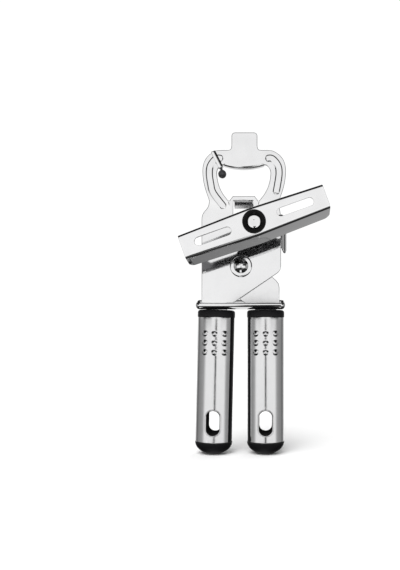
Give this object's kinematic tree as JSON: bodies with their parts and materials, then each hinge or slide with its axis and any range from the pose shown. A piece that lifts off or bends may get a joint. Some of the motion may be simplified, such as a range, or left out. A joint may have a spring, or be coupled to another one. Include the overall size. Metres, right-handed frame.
{
  "type": "manual can opener",
  "caption": "Squeeze-handled can opener with a butterfly crank, geared feed wheel and cutter, bottle-opener loop and sleeved grips.",
  "frame": {"origin": "bottom centre of the opener's bounding box, level with the feet of the end caps", "axes": "+Z along the handles from the end caps to the pry tab, -Y towards the crank side, +X to the user's right"},
  "size_m": [0.0912, 0.0438, 0.21],
  "materials": {
    "plate_steel": "bright nickel-plated pressed steel",
    "sleeve_steel": "polished stainless skin with fine lengthwise grain",
    "grip_plastic": "black moulded plastic, satin",
    "key_steel": "bright nickel-plated pressed steel",
    "rivet_steel": "polished rivet",
    "boss_plastic": "black moulded plastic, satin",
    "shaft_steel": "turned steel",
    "gear_steel": "pressed and hardened steel",
    "cutter_steel": "ground cutting steel",
    "ring_steel": "bright plated band",
    "clip_steel": "bright plated strap",
    "magnet_coat": "dark grey coated magnet"
  },
  "bodies": {
    "front_arm": {"front_plate": "plate_steel", "pivot_rivet": "rivet_steel", "pivot_washer": "rivet_steel", "pivot_back_washer": "rivet_steel", "left_grip_core": "grip_plastic", "left_sleeve": "sleeve_steel", "left_end_cap": "grip_plastic", "spindle_bush": "shaft_steel", "magnet_clip": "clip_steel", "lid_magnet": "magnet_coat"},
    "rear_arm": {"rear_plate": "plate_steel", "right_grip_core": "grip_plastic", "right_sleeve": "sleeve_steel", "right_end_cap": "grip_plastic", "cutter_stud": "shaft_steel", "cutter_washer": "shaft_steel"},
    "crank": {"crank_spindle": "shaft_steel", "crank_washer": "shaft_steel", "crank_spacer": "shaft_steel", "crank_key": "key_steel", "key_boss": "boss_plastic", "drive_gear": "gear_steel", "feed_wheel": "gear_steel", "spindle_nut": "shaft_steel"},
    "cutter": {"cutter_gear": "gear_steel", "cutter_wheel": "cutter_steel"},
    "stop_ring": {"stop_ring": "ring_steel"}
  },
  "joints": [
    {"name": "handle_open", "type": "hinge", "parent": "front_arm", "child": "rear_arm", "pos_m": [-0.00935, 0.011, 0.1226], "axis": [0, -1, 0], "range_deg": [0, 11]},
    {"name": "crank_spin", "type": "hinge", "parent": "front_arm", "child": "crank", "pos_m": [0, 0.011, 0.1439], "axis": [0, -1, 0], "continuous": true},
    {"name": "cutter_spin", "type": "hinge", "parent": "rear_arm", "child": "cutter", "pos_m": [-0.0187, 0.011, 0.1439], "axis": [0, -1, 0], "continuous": true},
    {"name": "ring_ride", "type": "slide", "parent": "front_arm", "child": "stop_ring", "axis": [0.4027, 0, 0.9153], "range_m": [0, 0.00548]}
  ],
  "couplings": [
    {"joint": "cutter_spin", "follows": "crank_spin", "ratio": -1},
    {"joint": "ring_ride", "follows": "handle_open", "m_per_rad": 0.028453}
  ]
}
